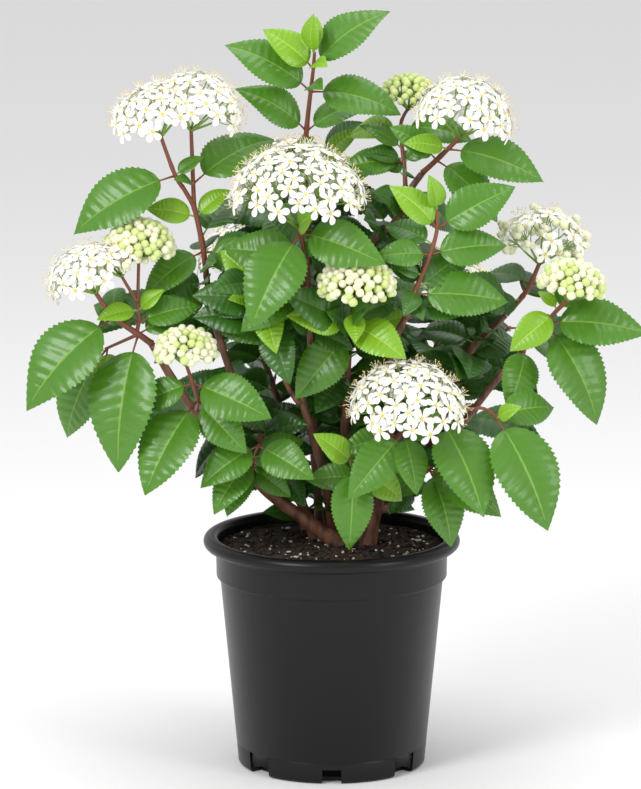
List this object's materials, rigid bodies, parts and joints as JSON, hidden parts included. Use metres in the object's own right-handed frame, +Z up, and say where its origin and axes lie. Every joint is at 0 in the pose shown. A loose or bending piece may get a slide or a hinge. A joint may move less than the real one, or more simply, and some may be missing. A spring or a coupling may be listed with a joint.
{
  "type": "potted viburnum shrub",
  "caption": "Flowering evergreen viburnum shrub with domed white flower clusters and toothed leaves, growing in a round black nursery pot.",
  "frame": {"origin": "centre of the pot's flat underside, which stands on the floor", "axes": "+Z up, the plant's front faces -Y, +X to the right seen from the front"},
  "size_m": [0.5365, 0.3565, 0.6646],
  "materials": {
    "pot": "satin black moulded plastic",
    "soil": "moist bark and peat mix",
    "bark": "smooth reddish brown bark",
    "foliage": "glossy green leaves and cream flowers"
  },
  "bodies": {
    "root": {"pot": "pot", "soil": "soil", "stem_left": "bark", "stem_upper_left": "bark", "stem_centre": "bark", "stem_top": "bark", "stem_right_centre": "bark", "stem_upper_right": "bark", "stem_back_left": "bark", "stem_back": "bark", "stem_back_right": "bark", "bough_centre_left": "bark", "bough_right": "bark", "bough_far_right": "bark", "foliage_left": "foliage", "foliage_upper_left": "foliage", "foliage_left_centre": "foliage", "foliage_centre": "foliage", "foliage_top": "foliage", "foliage_middle": "foliage", "foliage_right_centre": "foliage", "foliage_high_right": "foliage", "foliage_upper_right": "foliage", "foliage_right": "foliage", "foliage_far_right": "foliage", "foliage_front_right": "foliage", "foliage_low_front": "foliage", "foliage_low_right": "foliage", "foliage_low_left": "foliage", "foliage_left_low": "foliage", "foliage_back_left": "foliage", "foliage_back": "foliage", "foliage_back_right": "foliage", "foliage_back_low_left": "foliage", "foliage_back_low_right": "foliage", "foliage_back_low": "foliage", "foliage_back_high": "foliage"}
  },
  "joints": []
}
